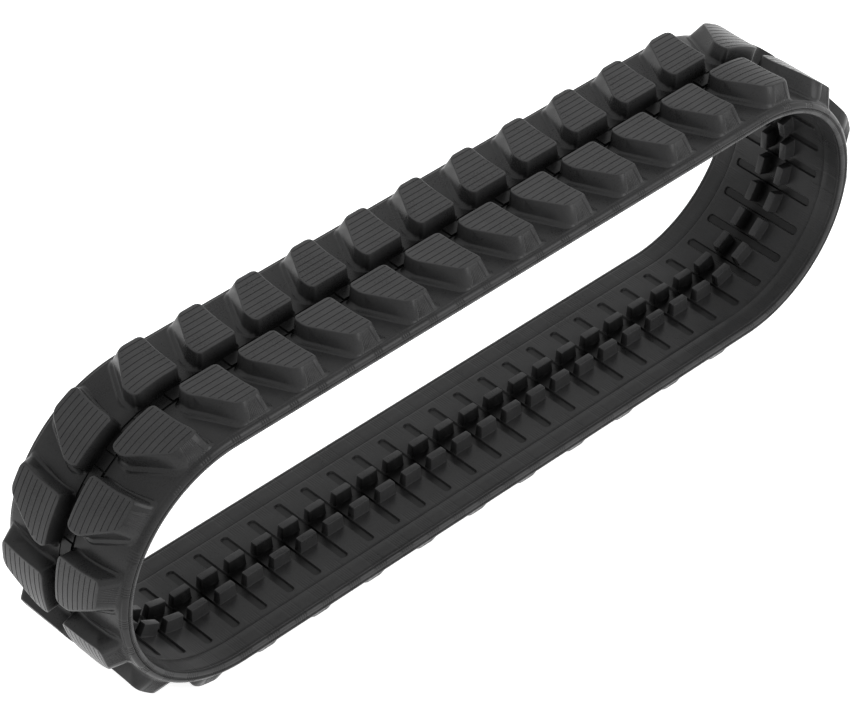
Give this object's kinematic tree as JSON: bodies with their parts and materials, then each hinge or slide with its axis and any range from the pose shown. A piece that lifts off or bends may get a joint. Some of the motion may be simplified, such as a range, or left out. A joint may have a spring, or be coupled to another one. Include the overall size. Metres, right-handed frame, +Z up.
{
  "type": "rubber track",
  "caption": "Endless rubber track of a small tracked machine: chevron tread lugs outside, paired guide horns and steel cores inside, steel cord belts between.",
  "frame": {"origin": "centre of the loop in plan, on the ground under the lower run's lugs", "axes": "+X along the lower run towards the front bend, +Y across the band to its left, +Z up"},
  "size_m": [1.4042, 0.23, 0.4442],
  "materials": {
    "cover_rubber": "matt moulded black rubber with a faint satin bloom",
    "tread_rubber": "matt moulded black tread rubber with fine ribs",
    "core_steel": "forged, unpainted, bonded inside the rubber",
    "cord_steel": "brass-plated stranded cord"
  },
  "bodies": {
    "lower_run": {"lower_run_inner_cover": "cover_rubber", "lower_run_tread": "tread_rubber", "lower_run_cord_belt_left": "cord_steel", "lower_run_cord_belt_right": "cord_steel", "lower_run_cores_1": "core_steel", "lower_run_cores_2": "core_steel", "lower_run_cores_3": "core_steel", "lower_run_cores_4": "core_steel", "lower_run_cores_5": "core_steel", "lower_run_cores_6": "core_steel", "lower_run_cores_7": "core_steel", "lower_run_cores_8": "core_steel", "lower_run_cores_9": "core_steel", "lower_rear_flex_inner": "cover_rubber", "lower_rear_flex_tread": "tread_rubber", "lower_front_flex_inner": "cover_rubber", "lower_front_flex_tread": "tread_rubber"},
    "front_bend": {"front_bend_inner_cover": "cover_rubber", "front_bend_tread": "tread_rubber", "front_bend_cord_belt_left": "cord_steel", "front_bend_cord_belt_right": "cord_steel", "front_bend_cores_1": "core_steel", "front_bend_cores_2": "core_steel", "front_bend_cores_3": "core_steel", "front_bend_cores_4": "core_steel", "front_bend_cores_5": "core_steel", "front_bend_cores_6": "core_steel"},
    "upper_run": {"upper_run_inner_cover": "cover_rubber", "upper_run_tread": "tread_rubber", "upper_run_cord_belt_left": "cord_steel", "upper_run_cord_belt_right": "cord_steel", "upper_run_cores_1": "core_steel", "upper_run_cores_2": "core_steel", "upper_run_cores_3": "core_steel", "upper_run_cores_4": "core_steel", "upper_run_cores_5": "core_steel", "upper_run_cores_6": "core_steel", "upper_run_cores_7": "core_steel", "upper_run_cores_8": "core_steel", "upper_run_cores_9": "core_steel", "upper_rear_flex_inner": "cover_rubber", "upper_rear_flex_tread": "tread_rubber", "upper_front_flex_inner": "cover_rubber", "upper_front_flex_tread": "tread_rubber"},
    "rear_bend": {"rear_bend_inner_cover": "cover_rubber", "rear_bend_tread": "tread_rubber", "rear_bend_cord_belt_left": "cord_steel", "rear_bend_cord_belt_right": "cord_steel", "rear_bend_cores_1": "core_steel", "rear_bend_cores_2": "core_steel", "rear_bend_cores_3": "core_steel", "rear_bend_cores_4": "core_steel", "rear_bend_cores_5": "core_steel", "rear_bend_cores_6": "core_steel"}
  },
  "joints": [
    {"name": "lower_rear_flex", "type": "hinge", "parent": "lower_run", "child": "rear_bend", "pos_m": [-0.456, 0, 0.0342], "axis": [0, 1, 0], "range_deg": [-5, 5], "stiffness_Nm_per_rad": 1500, "deforming": ["lower_rear_flex_inner", "lower_rear_flex_tread"]},
    {"name": "upper_rear_flex", "type": "hinge", "parent": "rear_bend", "child": "upper_run", "pos_m": [-0.456, 0, 0.40997], "axis": [0, 1, 0], "range_deg": [-5, 5], "stiffness_Nm_per_rad": 1500, "deforming": ["upper_rear_flex_inner", "upper_rear_flex_tread"]},
    {"name": "upper_front_flex", "type": "hinge", "parent": "upper_run", "child": "front_bend", "pos_m": [0.456, 0, 0.40997], "axis": [0, 1, 0], "range_deg": [-5, 5], "stiffness_Nm_per_rad": 1500, "deforming": ["upper_front_flex_inner", "upper_front_flex_tread", "lower_front_flex_inner", "lower_front_flex_tread"]}
  ],
  "couplings": [
    {"joint": "upper_rear_flex", "follows": "lower_rear_flex", "ratio": -1},
    {"joint": "upper_front_flex", "follows": "lower_rear_flex", "ratio": 1}
  ]
}
